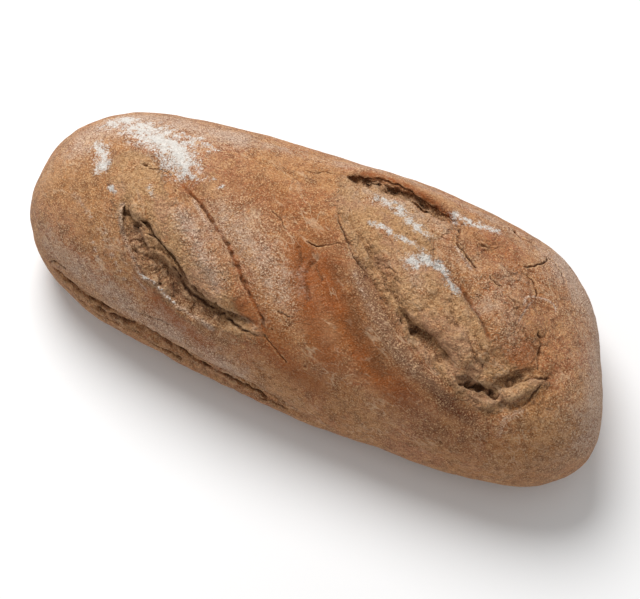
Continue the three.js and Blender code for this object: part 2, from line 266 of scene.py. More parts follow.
# %% Grooves and cracks: line, depth, half width, darkness of the painted shade in them
# A groove closes here and there, as noise says. One with a darkness over 1 keeps its painted shade
# dark longer.
crown_grooves = [
    # under the left tongue, then its tail beyond the tip
    ([(-76.8, -33.6), (-74, -32), (-70, -30.8), (-64.8, -31.8), (-60.8, -34), (-57.9, -36.4),
      (-53.7, -39.5), (-49.8, -41.6), (-44.2, -42.8), (-37.5, -44.1), (-31.5, -45.8),
      (-26.6, -47.8), (-20.5, -49.7), (-15.2, -50.4), (-9.5, -49.8)], 1.7, 0.7, 0.7),
    ([(-9.5, -49), (-5, -51), (0, -53), (5.5, -55)], 0.7, 0.4, 0.5),
    # two pockets and three small tears at its upper end
    ([(-91.4, -21.3), (-89.8, -22.9), (-88.1, -23.9)], 2.0, 0.8, 0.7),
    ([(-84.8, -24.9), (-81, -25.4), (-78, -25.1)], 1.8, 0.7, 0.8),
    ([(-76.2, -26.8), (-73.7, -26.7), (-70.1, -28.5)], 1.3, 0.6, 0.7),
    ([(-64, -42), (-62.5, -40), (-62.3, -38)], 1.3, 0.6, 0.5),
    ([(-64, -43.5), (-62.5, -44.5)], 1.6, 0.8, 0.7),
    ([(-90.5, -26), (-86.5, -28.2), (-84, -29)], 1.2, 0.6, 0.5),
    ([(-80, -36), (-77.5, -37)], 1.6, 0.8, 0.7),
    # the left tongue's upper crack and the groove along its back
    ([(-92.2, 1.8), (-91.3, 2.1)], 1.4, 0.6, 1.0),
    ([(-89.2, 0.2), (-86.3, 1.6), (-83.4, 2.9), (-80.6, 3.3), (-76.7, 1.7)], 1.0, 0.4, 0.9),
    ([(-71.1, -0.7), (-62.9, -4.6), (-56, -8.5), (-46.5, -15.4), (-37.9, -20.7), (-29, -29.6),
      (-20.9, -36.7), (-11.5, -44.3), (-8.3, -49.1)], 1.5, 0.7, 0.5),
    # the right slash: its long bed, pits, and the flake in its crumb
    ([(1.2, 12.2), (5.6, 6.6), (10.6, 0.5), (15.3, -3.8), (19.6, -7), (26, -10.5)], 1.2, 0.45, 0.7),
    ([(16.5, -4), (22.5, -7), (28.6, -11.5), (36.8, -17.6), (44.5, -22), (50, -23.5), (55.6, -24.2),
      (62.7, -28.4), (70.7, -32.8), (75, -35.4), (79.7, -37.5)], 0.7, 0.9, 0.2),
    ([(47.3, -23.2), (48, -23.6)], 2.2, 0.9, 0.8),
    ([(52.5, -24.3), (54.5, -25.4)], 2.8, 1.1, 0.9),
    ([(32.2, -4.4), (34, -4.1), (36.2, -5), (38.6, -7.1), (40.2, -9.8)], 1.5, 0.45, 0.8),
    # the pocket at its lower end and the folds around it
    ([(80.4, -40.2), (84.3, -37.6), (87.6, -37.4), (90.2, -36.4), (94.4, -36), (98.4, -37),
      (100.5, -36.6)], 2.2, 0.8, 0.8),
    ([(100.4, -32.2), (102.3, -28.6), (105.9, -26.2), (110.7, -24.3), (116, -21.9), (118.9, -20.4)],
     1.6, 0.7, 0.6),
    ([(104.7, -4.1), (107.8, -6.5), (109.9, -10.7), (110.7, -15.6), (112.6, -20.6)], 1.2, 0.5, 0.6),
    ([(118.2, -21.2), (115.7, -24.7), (114.3, -29.1), (112.7, -33.4), (110.2, -36.6),
      (107.8, -39.8)], 1.0, 0.45, 0.6),
    # the recess under the far lip, in two parts
    ([(-3.4, 35.7), (0, 38.3), (4.2, 39.6), (9, 40.8), (11.8, 41.2)], 2.4, 1.3, 0.35),
    ([(14, 40.5), (18.7, 41.8), (22.4, 41.7), (26.7, 41), (31, 40.2), (35.5, 39.4), (42, 39)],
     2.4, 1.6, 0.35),
    ([(-2, 36.5), (1.5, 40), (6, 41.6), (11, 43), (16, 43.6), (22, 43.6), (28, 42.4), (35, 40.8),
      (42.2, 39), (48, 36.6), (54.1, 34.2)], 1.0, 0.45, 0.9),
    # the crease down the right tongue and the crack beside it
    ([(65.6, 0.9), (68.9, -1.3), (72.1, -3.6), (76.3, -7.2), (80.6, -11.1), (84.5, -15.3),
      (87.4, -19)], 1.3, 0.8, 0.5),
    ([(44.3, 21.9), (48.5, 21.2), (52.6, 20.7), (56.3, 21.3)], 0.7, 0.35, 0.5),
    ([(46.9, 37.5), (53.5, 32.7), (56.4, 27), (56.2, 22)], 0.9, 0.6, 0.7),
    ([(56.3, 21.3), (58.3, 19.7), (60.7, 18.5), (62.7, 17.1), (66, 14.6), (70, 11.8)],
     1.3, 0.5, 1.0),
    # cracks of the crust around the right end
    ([(77.2, 47.3), (82, 43.9), (85, 44.4), (89.4, 45.3)], 1.8, 0.8, 1.8),
    ([(88.8, 24.9), (92.5, 29), (96.2, 34), (97.3, 39.8)], 1.3, 0.5, 1.4),
    ([(97.3, 39.8), (101.1, 37.9), (103.2, 35.7), (105.5, 34.9), (107.4, 31.5), (108.5, 27.7)],
     1.2, 0.5, 1.6),
    ([(88.3, 21.5), (94.5, 20.8), (96.8, 17.5), (99.5, 13.8)], 1.2, 0.5, 1.6),
    ([(76.3, 10.4), (78.6, 9.3), (81.2, 7.7), (83.4, 8.5)], 0.9, 0.45, 0.8),
    ([(66.3, 26.9), (69.7, 27), (72.2, 27.2), (74.4, 29.5)], 0.9, 0.45, 0.8),
    ([(80.6, 9.3), (83.9, 8.2), (88.5, 5), (93.3, 2.7)], 0.7, 0.4, 0.5),
    # five small pits
    ([(-72.1, -5.3)], 0.8, 0.6, 0.8),
    ([(-5.8, -46.6)], 0.8, 0.6, 0.8),
    ([(13.7, -54.2)], 0.8, 0.6, 0.8),
    ([(82.5, -59.5)], 0.9, 0.7, 0.8),
    ([(127.9, -46.3)], 0.8, 0.6, 0.8),
    # cracks of the crust between the slashes
    ([(-6.7, -6.3), (-3.3, -6.3), (-0.4, -6), (2.5, -4.8), (5.4, -3.4), (7.8, -2.1), (10.4, -1.4)],
     1.0, 0.4, 0.9),
    ([(-28.6, 2.7), (-26.3, 1.4), (-23.6, 0.5), (-21.2, -0.9), (-19.4, -2.4), (-17.8, -3.7),
      (-15, -4.4)], 0.5, 0.3, 0.7),
    ([(-23.8, -3.7), (-22.3, -2.5), (-21.2, -0.9)], 0.4, 0.3, 0.6),
    ([(-22.7, 30.7), (-19.3, 31), (-16.5, 31.7), (-14.2, 34.7)], 0.8, 0.4, 0.7),
    ([(-16.8, 32.4), (-14.4, 33.8), (-12, 34.3), (-8, 36), (-3.6, 36.5)], 0.8, 0.4, 0.6),
    ([(-6.5, -39), (0.3, -40)], 0.6, 0.4, 0.5),
    # three shallow curved dents of a thumb
    ([(3, -9.4), (1.1, -13.1), (0.1, -17.6), (0.7, -22.5), (2.5, -26.7), (6.3, -32.2)],
     1.3, 1.2, 0.1),
    ([(-9.3, -9.4), (-6.8, -11.9), (-3.7, -15.6), (-3.1, -19.2)], 1.0, 1.0, 0.1),
    ([(2.4, -12.6), (2.6, -15.5), (4.7, -18.1), (7.7, -19.3)], 1.0, 1.0, 0.1),
]
print(len(crown_grooves), "grooves and cracks on the crown")

# %% Raised lips and fillings: line, height, half width
crown_ridges = [
    # lips
    ([(-93, -21.1), (-90.2, -27.6), (-85.6, -33.8), (-79.9, -38.6), (-73.5, -44.6), (-65.3, -45.9),
      (-59.4, -48.1), (-55.5, -49), (-46.6, -50.7), (-33.2, -53.6)], 0.8, 0.8),
    ([(18.3, -11), (24.7, -17), (33.2, -25.6), (41.6, -31.7), (50.2, -37.4)], 0.5, 1.3),
    ([(12, 42.3), (17, 42.8), (22, 42.8)], 0.8, 1.0),
    ([(91, -44.5), (98, -42), (103, -38.5), (108, -33), (113, -27.5)], 0.8, 1.6),
    ([(92.2, 0.1), (94.2, 5.8), (97.2, 10.4), (101.1, 13.7), (104.7, 15), (108.3, 15.1)],
     0.35, 0.6),
    # crumb that fills the beds and the recess in places
    ([(12, 4), (18, 0), (27, -5.6), (34, -10.8)], 3.0, 4.0),
    ([(37, -13), (44, -18.5)], 2.2, 3.5),
    ([(-86, -20.5), (-80, -24), (-73, -28), (-66, -31.5), (-59, -35)], 3.2, 3.0),
    ([(-78.8, -23.3), (-78.6, -27.2), (-76.1, -30.5), (-72.6, -32.7)], 2.4, 2.2),
    ([(1, 36), (9, 38.6), (17, 39.4), (27, 39.2), (37, 37.6)], 3.6, 2.8),
    # the crisp edge of the far lip
    ([(2, 41), (9.9, 43.6), (15.6, 44.4), (20.6, 44.6), (26, 43.9), (36.4, 41), (46.3, 37.8)],
     0.6, 0.8),
]
print(len(crown_ridges), "ridges")

# %% The seam above the base, seen from the near side: (x, z) points
near_side_grooves = [
    ([(-126, 37), (-115, 32.5), (-104, 31.5), (-95, 32.5), (-86, 34.5), (-77, 38), (-69, 39.5),
      (-62, 38.5), (-56, 36), (-48, 31.5), (-42, 29.5), (-35, 28.5), (-26, 27), (-17, 26),
      (-8, 25), (4, 22.5)], 2.2, 0.9, 0.8),
    ([(-100, 28), (-90, 30), (-80, 32.5), (-69, 34.5), (-60, 33.5), (-50, 29)], 2.2, 1.2, 0.5),
    ([(-82, 22), (-74, 26), (-67, 27), (-61, 25.5), (-54, 26), (-47, 25)], 1.3, 0.7, 0.6),
    ([(-112, 25), (-100, 23.5), (-90, 25), (-80, 28), (-70, 30)], 0.8, 0.5, 0.5),
    ([(-8, 21), (0, 22.5), (9, 22)], 0.9, 0.6, 0.5),
    ([(-80, 46), (-66, 49), (-60, 50), (-52, 51)], 0.6, 0.5, 0.3),
    ([(-126, 38), (-124, 42), (-121, 45), (-117, 45.5), (-114, 45)], 0.9, 0.5, 0.6),
]
print(len(near_side_grooves), "grooves on the near side")

# %% How ragged the fold under the seam is, then the crumb: line, half width, raggedness
near_side_ragged_lines = [
    ([(-118, 29), (-100, 26), (-84, 27.5), (-68, 31), (-50, 27), (-30, 23), (-10, 20)], 4.5, 0.7),
]
ragged_lines = [
    ([(-90, -27), (-80, -33), (-70, -39), (-58, -43.5), (-44, -47.5), (-28, -50.5)], 7, 1.0),
    ([(-78, -27), (-66, -31), (-56, -37), (-44, -42)], 4, 0.8),
    ([(8, -1), (20, -6), (30, -12.5), (40, -20)], 6, 0.35),
    ([(44, -22), (50, -25.5), (60, -28.5), (70, -33.5), (80, -39)], 6, 1.0),
    ([(64, 12), (76, 6), (88, -4), (98, -14)], 9, 0.5),
    ([(60, -12), (70, -18), (80, -27), (90, -31)], 8, 0.8),
    ([(-1, 37), (8, 40), (20, 41.5), (32, 40), (44, 38)], 4, 1.0),
    ([(80, -41), (90, -38), (100, -36), (108, -28), (116, -23)], 5, 0.9),
    ([(30, 16), (44, 12), (58, 5), (66, -3)], 6, 0.55),
    ([(-1, 30), (10, 33), (24, 34), (38, 31)], 5, 0.5),
]
flaky_lines = [
    ([(58, 28), (74, 24), (88, 18), (98, 6), (104, -8)], 13, 1.0),
    ([(96, -42), (108, -38), (118, -28), (121, -14)], 6, 0.7),
]
print(len(ragged_lines), "ragged and", len(flaky_lines), "flaky lines")


# %% [markdown]
# ## A finer net where the crust is torn
# The even net has a point every two and a half millimetres. The torn beds need a quarter of
# that, and the hairline cracks an eighth. A finer remesh of the whole loaf would cost too many
# faces, so only the faces there are selected and subdivided in edit mode. A Shrinkwrap modifier
# then lays every point back on the smooth form of the solid.

# %% Lines laid on the skin
outside = 200  # a ray starts this far from the middle, clear of the loaf


def skin_tree(piece):
    return BVHTree.FromObject(piece, bpy.context.evaluated_depsgraph_get())


def drop(tree, flat, near_side=False):
    """A smooth line through the given points, laid on the skin from above or the near side."""
    laid = []
    for a, b in smooth_line(flat):
        if near_side:
            start, way = Vector((a, -outside, b)), Vector((0, 1, 0))
        else:
            start, way = Vector((a, b, outside)), Vector((0, 0, -1))
        laid.append(np.array(tree.ray_cast(start * MM, way)[0]) / MM)
    return np.array(laid)


even_tree = skin_tree(loaf)
grooves = [(drop(even_tree, flat, side), depth, width, dark)
           for table, side in ((crown_grooves, False), (near_side_grooves, True))
           for flat, depth, width, dark in table]
ridges = [(drop(even_tree, flat), height, width) for flat, height, width in crown_ridges]
print("points on all grooves:", sum(len(line) for line, *_ in grooves))


# %% Finer faces where they are wanted
def finer(piece, wanted):
    """Subdivides the faces that touch a wanted point."""
    only(piece)
    bpy.ops.object.mode_set(mode="EDIT")
    bpy.ops.mesh.select_all(action="DESELECT")
    bpy.ops.object.mode_set(mode="OBJECT")
    for polygon in piece.data.polygons:
        polygon.select = bool(wanted[list(polygon.vertices)].any())
    bpy.ops.object.mode_set(mode="EDIT")
    bpy.ops.mesh.subdivide(number_cuts=1)
    bpy.ops.object.mode_set(mode="OBJECT")


print("faces before:", len(loaf.data.polygons))


# %% How near a point is to the tears, grooves and lines
def torn_areas(points, softness):
    bed = np.maximum(inside(points, left_tear, softness), inside(points, right_tear, softness))
    back = np.maximum(inside(points, left_tongue_back, softness),
                      inside(points, right_tongue_back, softness))
    return bed, back


def near_a_groove(points, reach, darker_than=0.0):
    near = np.zeros(len(points), bool)
    for line in [line for line, _, _, dark in grooves if dark > darker_than]:
        close = close_to(points, line, reach)
        near[close] |= np.linalg.norm(nearest_on(line, points[close])[0], axis=1) < reach
    return near


def from_lines(points, tree, table, near_side=False):
    """The strength of a table's lines, fading to nothing at about twice their half width."""
    mask = np.zeros(len(points))
    for flat, width, strength in table:
        line = drop(tree, flat, near_side)
        close = close_to(points, line, 3 * width)
        away = np.linalg.norm(nearest_on(line, points[close])[0], axis=1)
        mask[close] = np.maximum(mask[close], strength * np.exp(-(away / width) ** 2))
    return mask


wide_reach, close_reach, hairline_reach = 3, 1.3, 0.5
hairline_darkness = 0.35
print("points near a groove:", int(near_a_groove(skin_points(loaf), wide_reach).sum()))

# %% Three rounds of subdivision
points = skin_points(loaf)
bed, back = torn_areas(points, 5)
flaky = from_lines(points, even_tree, flaky_lines)
finer(loaf, (bed > 0.05) | (back > 0.3) | (flaky > 0.3) | near_a_groove(points, wide_reach))
print("first round:", len(loaf.data.polygons), "faces")

points = skin_points(loaf)
bed, back = torn_areas(points, 5)
fold = from_lines(points, even_tree, near_side_ragged_lines, near_side=True)
flaky = from_lines(points, even_tree, flaky_lines)
finer(loaf, (bed > 0.3) | (fold > 0.3) | (flaky > 0.4) | near_a_groove(points, close_reach))
print("second round:", len(loaf.data.polygons), "faces")
finer(loaf, near_a_groove(skin_points(loaf), hairline_reach, hairline_darkness))

# %% Back onto the smooth form
apply_modifier(loaf, "hug_form", "SHRINKWRAP", target=smooth_form,
               wrap_method="NEAREST_SURFACEPOINT")
apply_modifier(loaf, "ease_steps", "SMOOTH", factor=0.5, iterations=2)
bpy.data.objects.remove(smooth_form)
print("skin with fine beds and cracks:", len(loaf.data.polygons), "faces")


# %% [markdown]
# ## Relief
# Where the crust burst, the dough stretched and tore: lumps, ragged edges and open pores, made
# by pushing the points about with noise of several sizes. The grooves follow, sunk along their
# lines with a ragged edge, because the distance to a line is measured from a shaken point. At
# the right end the dry crust has lifted in flakes, which are a noise cut into steps.

# %% Noise over many points
def noise_at(points, size, shift=0.0):
    """Smooth noise, mostly between -0.5 and 0.5, with lumps about size millimetres wide."""
    offset = Vector((shift, shift * 1.7, shift * 0.6))
    return np.array([noise.noise(Vector(p) / size + offset) for p in points])


def noise_vectors(points, size, shift=0.0):
    offset = Vector((shift, shift * 1.7, shift * 0.6))
    return np.array([noise.noise_vector(Vector(p) / size + offset) for p in points])


def ledges(value, steps):
    """Turns a smooth slope into plates with a broken edge between one and the next."""
    scaled = value * steps
    whole = np.floor(scaled)
    return (whole + smoothstep(scaled - whole, 0.8, 1.0)) / steps


def ledge_edges(value, steps):
    """1 along the broken edges between the plates that ledges makes."""
    return np.exp(-(((value * steps) % 1 - 0.88) / 0.08) ** 2)


def creases(value, width):
    """1 where a noise crosses zero, which is along thin wandering lines."""
    return np.exp(-(value / width) ** 2)


print("noise 6 mm wide at the first point:", round(noise_at(skin_points(loaf)[:1], 6)[0], 2))

# %% How torn each point is
points = skin_points(loaf)
normals = skin_normals(loaf)
bed, back = torn_areas(points, 6)
ragged = from_lines(points, even_tree, ragged_lines)
fold = from_lines(points, even_tree, near_side_ragged_lines, near_side=True)
rough = np.maximum(bed * (0.3 + 0.6 * ragged) * (1 - 0.55 * back), 0.5 * ragged * back)
rough = np.maximum(rough, 0.6 * fold)
where = rough > 0.01
print("torn points:", int(where.sum()))

# %% Lumps, plates and creases of the torn crumb
p, n, r = points[where], normals[where], rough[where][:, None]
along_slash = np.array([0.85, -0.52, 0])
stretched = p - 0.6 * (p @ along_slash)[:, None] * along_slash
sideways = noise_vectors(p, 6, 4.1) * 1.6 + noise_vectors(p, 2.6, 9.2) * 0.8
plates = ledges(noise_at(stretched, 9, 2.2), 5) * 3.0
lumps = (noise_at(p, 6, 1.3) * 1.6 + noise_at(stretched, 2.8, 2.7) * 0.9
         + noise_at(p, 1.4, 5.9) * 0.5)
torn_lines = creases(noise_at(stretched, 5, 7.7), 0.09) * 0.9
points[where] = p + r * (sideways + n * (plates + lumps - torn_lines)[:, None])
print("plates and lumps, mm:", round(float((plates + lumps).max()), 1), "at most")

# %% Dents and grain of the whole crust
relief = (noise_at(points, 22, 0.7) * 0.6 + noise_at(points, 8, 3.1) * 0.3
          + noise_at(points, 3.2, 6.3) * 0.14)
points += normals * (relief * smoothstep(points[:, 2], 1, 8))[:, None]
print("dents and grain, mm:", round(float(relief.max()), 1), "at most")

# %% Flakes of dry crust at the right end
flaky = from_lines(points, even_tree, flaky_lines)
flake_field = noise_at(points, 12, 8.4) + noise_at(points, 3, 4.4) * 0.12
flake_steps = 4
flakes = ledges(flake_field, flake_steps) * 3.0 + noise_at(points, 4, 2.9) * 0.6
points += normals * (flaky * flakes)[:, None]
# where painted shade will darken the broken edges between flakes
flake_edge_shade = smoothstep(flaky, 0.3, 0.8) * ledge_edges(flake_field, flake_steps)
print("points on the edge of a flake:", int((flake_edge_shade > 0.5).sum()))

# %% Grooves and ridges
normals = skin_normals(loaf)
shaken = points + noise_vectors(points, 3.5, 11.0) * 0.9 + noise_vectors(points, 1.4, 17.0) * 0.4
sunk = np.zeros(len(points))
crack = np.zeros(len(points))
no_crack_near = 9.0  # half widths
crack_side = np.full(len(points), no_crack_near)
crack_fade = 1.3
groove_reach = 5
for line, depth, width, dark in grooves:
    close = close_to(shaken, line, groove_reach)
    gap, heading, along = nearest_on(line, shaken[close])
    gap -= (gap * normals[close]).sum(axis=1)[:, None] * normals[close]
    away = np.linalg.norm(gap, axis=1)
    ends = smoothstep(along, 0, 0.08) * smoothstep(1 - along, 0, 0.08) if len(line) > 2 else 1
    open_here = smoothstep(noise_at(points[close], 4.5, 3.7), -0.3, 0.15)
    sunk[close] = np.maximum(sunk[close], depth * ends * (0.5 + 0.5 * open_here)
                             * np.exp(-(away / width) ** 2))
    side = np.where((np.cross(heading, normals[close]) * gap).sum(axis=1) < 0, -1, 1)
    nearer = away / width < np.abs(crack_side[close])
    crack_side[close[nearer]] = (side * away / width)[nearer]
    # strength of the painted shade in the groove, less where it closes
    shown = np.minimum(1, dark * ends * (0.25 + 0.75 * open_here))
    crack[close[nearer]] = (shown * np.exp(-(away / (crack_fade + width)) ** 4))[nearer]
for line, height, width in ridges:
    close = close_to(shaken, line, 3 * width)
    away = np.linalg.norm(nearest_on(line, shaken[close])[0], axis=1)
    sunk[close] -= height * np.exp(-(away / width) ** 2)
points -= normals * sunk[:, None]
print("deepest groove, mm:", round(float(sunk.max()), 1))

# %% Keep inside the solid's box, with a flat base
base_edge = 0.4
low, high = np.array(solid_low) / MM, np.array(solid_high) / MM
points = np.clip(points, low, high)
points[points[:, 2] < base_edge, 2] = 0
set_points(loaf, points)
only(loaf)
bpy.ops.object.shade_smooth_by_angle(angle=math.radians(60))
print("points on the base:", int((points[:, 2] == 0).sum()))


# %% [markdown]
# ## Masks for the finish
# Flour stays where the proving basket left it, and the crust browns most where it is thin or
# turned to the heat. Painting this by hand would need an image, so each mask is a number at every
# point of the skin, kept as an attribute that the material reads: torn crumb, white flour, a thin
# haze of flour that also paints sheen along the rims, toasted, scorched and golden patches,
# painted shade along the edges of flakes and in cracks, and how far a point stands out from its
# neighbourhood, for painted shade in hollows and a painted highlight on crests. One more,
# crack_side, is the distance to the nearest crack in its half widths. Its sign tells the two sides
# apart, so it is 0 on the crack itself.

# %% Where flour stayed: line, half width, strength
flour_lines = [
    ([(-121, 22), (-116.8, 25.4), (-111.7, 22.4), (-106.5, 20)], 6, 0.8),
    ([(-104, 21.5), (-89.2, 19), (-81.9, 15), (-76, 9)], 8.5, 0.95),
    ([(-98, 14.4), (-93, 14.9), (-87.7, 15)], 3, 0.8),
    ([(-81.4, 25.3), (-74.6, 25.5), (-65.5, 22.9)], 3, 0.5),
    ([(-73.5, 7.3), (-69.3, 3.9), (-64, 3.7), (-59.9, 5.8), (-52.9, 4.1)], 0.9, 0.8),
    ([(-118, 5), (-115.1, 1.5), (-111, -5)], 4.2, 0.75),
    ([(-102.4, -14), (-98.7, -15.9)], 1.3, 0.8),
    ([(-83.7, -8.4), (-80.6, -13.9)], 1.6, 0.6),
    ([(15.2, 28.2), (18.9, 28.8), (23.3, 29.1), (27, 27)], 3.8, 0.6),
    ([(30, 24.6), (33.4, 22), (36.1, 21.5), (39.2, 20), (43.1, 18.6)], 3.2, 0.62),
    ([(17.9, 13.7), (24.6, 13), (30.4, 10.6), (34.9, 11.6), (40.8, 10.3), (46.7, 7.5), (50.4, 5.7)],
     1.8, 0.6),
    ([(42.1, 1.9), (44.9, 2.2), (47.5, 5.5)], 3.6, 1.05),
    ([(49.6, 5.1), (54.6, 5.1), (58.3, 3.2), (61.9, -1.4), (65.6, -3.3)], 2.6, 0.8),
    ([(50.3, 37.6), (54.1, 37.9), (57.8, 37.6)], 3.2, 0.65),
    ([(60, 39), (66.4, 39.1), (70.3, 39.5)], 3.2, 0.6),
    ([(-74, -44.2), (-65.3, -45.9), (-59.4, -48.1), (-54, -49.3)], 0.7, 0.75),
]
print(len(flour_lines), "lines of flour")

# %% Where a thin haze of flour lies, and along the rims a painted sheen: line, half width, strength
haze_and_sheen_lines = [
    ([(-93, -20), (-90.2, -27.6), (-85.6, -33.8), (-79.9, -38.6), (-73.5, -44.6), (-65.3, -45.9),
      (-59.4, -48.1), (-55.5, -49), (-46.6, -50.7), (-33.2, -53.6)], 1.5, 0.85),
    ([(57.5, 18.2), (60.5, 15.8), (64, 13.2), (67.5, 10.5)], 0.8, 1.4),
    ([(-126, 8), (-120, 16), (-108, 18), (-92, 18), (-78, 14)], 11, 0.9),
    ([(60, 14), (74, 7), (88, -4), (97, -15)], 10, 0.45),
    # towards the rims: flour haze, and painted sheen where grazing light greys them
    ([(-122, -42), (-106, -47), (-88, -52), (-65, -56), (-42, -59), (-20, -61)], 12, 0.85),
    ([(-128, 6), (-124, 16), (-112, 28), (-90, 32), (-60, 36)], 11, 1.0),
    ([(-60, 38), (-20, 42), (20, 50), (60, 48), (95, 46)], 6, 0.6),
    ([(104, 42), (118, 33), (130, 19), (138, 2), (143, -13), (145, -28)], 19, 1.1),
    ([(42, 2), (45, -3), (50, -9)], 5, 0.55),
    ([(-45, -11), (-30, -17), (-18, -24), (-8, -30)], 13, 0.85),
    ([(-64, -17), (-53, -25), (-45, -32), (-37, -38)], 7, 0.9),
    ([(-62.1, -7), (-56.5, -11.4), (-50.8, -16), (-45.9, -20.4)], 1.6, 0.9),
    ([(19.9, -12.5), (23.2, -15.6), (26.4, -18.7), (30.3, -22.2), (34.1, -25.5)], 1.1, 0.9),
    ([(34.1, -25.5), (41.6, -31.7), (50.2, -37.4), (62, -43)], 2.5, 0.4),
    ([(6, 30), (20, 32), (34, 30), (48, 26)], 8, 0.6),
    ([(80, 0), (86, 14), (96, 22), (106, 26)], 12, 0.5),
    ([(111.2, -39), (106.3, -44.2), (106.2, -48.7)], 2.5, 0.8),
    # thin pale wisps
    ([(95.5, 4.9), (95.1, 9), (98.1, 12.2), (102.9, 14.3), (107.8, 13.4), (109.8, 10.5)], 0.7, 1.3),
    ([(96.1, -3.8), (96.7, 1.4), (97.8, 7.1), (98.3, 9.9)], 0.6, 1.2),
    ([(-121.7, -19.3), (-114.3, -23.1), (-106.6, -28.3), (-98.4, -34.9), (-90.8, -40.9)], 0.7, 0.9),
    ([(-101.7, -37.4), (-95.2, -44), (-88.3, -49.8), (-81, -52.9)], 0.8, 1.1),
    ([(-96.2, -33.4), (-89.2, -40.6), (-80.8, -47.2), (-72.8, -51.2)], 0.8, 1.1),
    ([(-88.5, -35.1), (-83.3, -40.7), (-77, -45.2), (-69.2, -48.4)], 0.7, 0.9),
    ([(-109.1, -42), (-103.4, -46.8), (-96.6, -50.4)], 0.8, 1.0),
]
print(len(haze_and_sheen_lines), "lines of haze")

# %% Where the crust browned more or less: line, half width, strength
toast_lines = [
    ([(6, -14), (13, -23), (23, -31), (35, -40), (47, -47), (61, -51)], 9, 1.0),
    ([(-22, -44), (-11, -47), (-2, -52), (7, -56), (20, -58)], 9, 0.8),
    ([(-62, -50), (-54, -54), (-46, -56), (-38, -58)], 5, 0.8),
    ([(-47.9, 7.5), (-33.1, 8.2), (-14, 4.8), (-1.6, -0.9)], 9, 0.45),
    ([(-7, -11), (3.4, -26.4), (14.2, -40.2), (24.9, -49.3)], 9, 1.0),
    ([(89.2, -22.4), (98.4, -22.9), (105.4, -13.7)], 7, 0.7),
    ([(-72, 6.5), (-70, 8.5)], 1.6, 0.8),
    ([(70, 30), (82, 26), (92, 20), (99, 10)], 9, 0.4),
    ([(-71.1, -0.7), (-62.9, -4.6), (-56, -8.5), (-46.5, -15.4), (-37.9, -20.7), (-29, -29.6),
      (-20.9, -36.7), (-11.5, -44.3), (-8.3, -49.1)], 1.5, 1.0),
    ([(65.6, 0.9), (72.1, -3.6), (80.6, -11.1), (87.4, -19)], 1.6, 0.8),
    ([(2, 41), (8, 43.4), (16, 44.6), (26, 44), (36, 42), (48, 38)], 2.0, 1.2),
]
scorch_lines = [
    ([(22, -11), (29, -18.5), (36, -25), (45, -32), (56, -38), (68, -42.5), (80, -47.5),
      (92, -49)], 5.0, 1.1),
    ([(-84, -30), (-74, -37), (-62, -42), (-48, -46), (-34, -49)], 6, 0.8),
    ([(8, 38), (20, 40), (32, 38.6), (42, 37.5)], 3.5, 0.4),
    ([(62, -52), (78, -56), (94, -56)], 7, 0.5),
]
golden_lines = [
    ([(-132, -16), (-120, -14), (-108, -22), (-101, -35)], 12, 0.8),
    ([(107.3, -35.7), (120.6, -38), (132.1, -40.1)], 12, 0.9),
    ([(-40, 26), (-10, 28), (20, 22)], 10, 0.6),
    ([(6, 12), (14, 4), (26, -2)], 7, 0.5),
]
print(len(toast_lines), "toasted,", len(scorch_lines), "scorched,", len(golden_lines), "golden")


# %% How far a point stands out
def neighbour_mean(piece, values):
    edges = np.empty(len(piece.data.edges) * 2, dtype=np.int32)
    piece.data.edges.foreach_get("vertices", edges)
    a, b = edges.reshape(-1, 2).T
    count = np.bincount(a, minlength=len(values)) + np.bincount(b, minlength=len(values))
    total = [np.bincount(a, column[b], len(values)) + np.bincount(b, column[a], len(values))
             for column in values.T]
    return np.array(total).T / count[:, None]


def standing_out(piece, points, normals, rounds):
    """Height in millimetres of each point over the mean of its surroundings."""
    around = points
    for _ in range(rounds):
        around = neighbour_mean(piece, around)
    return ((points - around) * normals).sum(axis=1)


points, normals = skin_points(loaf), skin_normals(loaf)
crest_rounds, crest_span = 8, 1.2
crest_for_painted_light = standing_out(loaf, points, normals, crest_rounds)
print("crests stand out by", round(float(crest_for_painted_light.max()), 1), "mm at most")

# %% Store the masks
tree = skin_tree(loaf)
bed, back = torn_areas(points, 9)
masks = {
    "flour": from_lines(points, tree, flour_lines),
    "flour_haze_and_sheen": from_lines(points, tree, haze_and_sheen_lines),
    "toast": from_lines(points, tree, toast_lines),
    "scorch": from_lines(points, tree, scorch_lines),
    "golden": from_lines(points, tree, golden_lines),
    "torn": np.maximum(bed * (1 - 0.7 * back) + 0.25 * back, 0.5 * fold),
    "flake_edge_shade": flake_edge_shade,
    "crack": crack,
    "crack_side": crack_side,
    # how far a point stands out, for painted shade in hollows and a painted highlight on crests
    "crest_for_painted_light": np.clip(0.5 + crest_for_painted_light / crest_span, 0, 1),
}
for name, values in masks.items():
    attribute = loaf.data.attributes.new(name, "FLOAT", "POINT")
    attribute.data.foreach_set("value", np.ascontiguousarray(values, dtype=np.float32))
    print(name, "mean", round(float(values.mean()), 3))


# %% [markdown]
# ## Crust material
# Rye crust is matt. Its colour wanders from tan to chestnut in patches, with a fine grain of
# bran and flour. One Principled shader is enough for it. Its base colour is built up in layers,
# as a painter would: each layer mixes a new shade over the last one, by a noise or by a mask
# whose edge a noise breaks up. All noise reads object coordinates, so the pattern stays put.

# %% A colour for a shader
def srgb(red, green, blue):
    """A colour as seen on a screen, 0 to 255, turned to the linear values that shaders use."""
    def linear(value):
        c = value / 255
        return c / 12.92 if c <= 0.04045 else ((c + 0.055) / 1.055) ** 2.4
    return (linear(red), linear(green), linear(blue), 1)


print("a screen's middle grey is", round(srgb(128, 128, 128)[0], 2), "to a shader")


# %% Nodes, and the links between them
def add_node(tree, kind, **settings):
    made = tree.nodes.new(kind)
    for key, value in settings.items():
        setattr(made, key, value)
    return made


